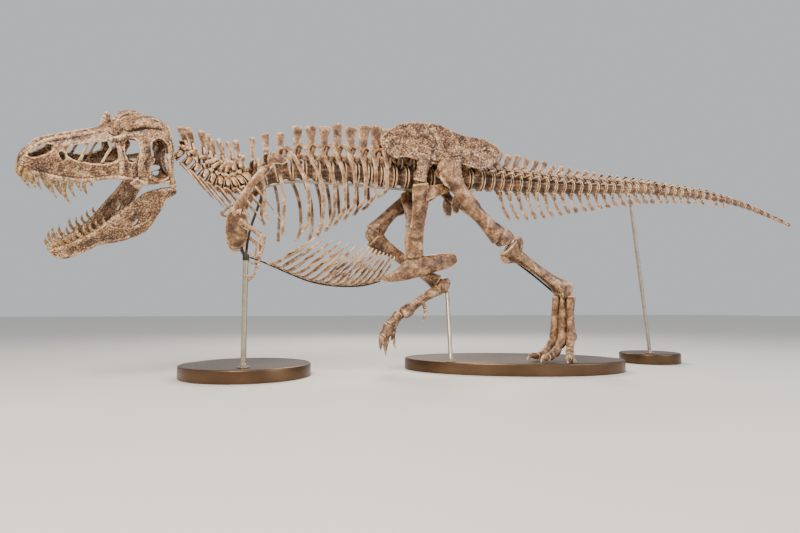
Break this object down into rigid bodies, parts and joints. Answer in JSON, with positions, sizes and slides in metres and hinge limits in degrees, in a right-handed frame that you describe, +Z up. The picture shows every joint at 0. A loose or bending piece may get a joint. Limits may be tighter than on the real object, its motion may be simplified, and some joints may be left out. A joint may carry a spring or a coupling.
{
  "type": "tyrannosaurus skeleton mount",
  "caption": "Life-size mounted skeleton of a striding tyrannosaurus, jaws open, tail raised level behind, on low round bases with steel rods and brackets.",
  "frame": {"origin": "on the underside of the middle base, which is the floor, straight below the hip joints", "axes": "+X runs from the head toward the tail along the body, -Y is the animal's left side, +Z is up"},
  "size_m": [11.8929, 2.2289, 3.55],
  "materials": {
    "bone": "mottled brown fossil bone, semi-gloss",
    "bronze": "dark patinated bronze",
    "steel": "satin steel rod",
    "dark_steel": "dark painted steel"
  },
  "bodies": {
    "root": {"femur_left": "bone", "femur_right": "bone", "fibula_left": "bone", "fibula_right": "bone", "forearm_left": "bone", "forearm_right": "bone", "furcula": "bone", "gastralia_left": "bone", "gastralia_right": "bone", "hand_left": "bone", "hand_right": "bone", "humerus_left": "bone", "humerus_right": "bone", "ilium_left": "bone", "ilium_right": "bone", "ischium": "bone", "jaw_left": "bone", "jaw_right": "bone", "metatarsus_left": "bone", "metatarsus_right": "bone", "neck": "bone", "pubis": "bone", "sacrum": "bone", "scapula_left": "bone", "scapula_right": "bone", "skull": "bone", "stand_base_front": "bronze", "stand_base_middle": "bronze", "stand_base_tail": "bronze", "stand_belly_bar": "dark_steel", "stand_bracket_front": "dark_steel", "stand_rod_ankle": "steel", "stand_rod_front": "steel", "stand_rod_heel": "steel", "stand_rod_shin": "dark_steel", "stand_rod_tail": "steel", "stand_spine_bar": "steel", "stand_tail_bar": "steel", "tail_1": "bone", "tail_2": "bone", "tail_3": "bone", "tail_4": "bone", "tibia_left": "bone", "tibia_right": "bone", "toe_1_left": "bone", "toe_1_right": "bone", "toe_2_left": "bone", "toe_2_right": "bone", "toe_3_left": "bone", "toe_3_right": "bone", "toe_4_left": "bone", "toe_4_right": "bone", "torso_left": "bone", "torso_right": "bone"}
  },
  "joints": []
}
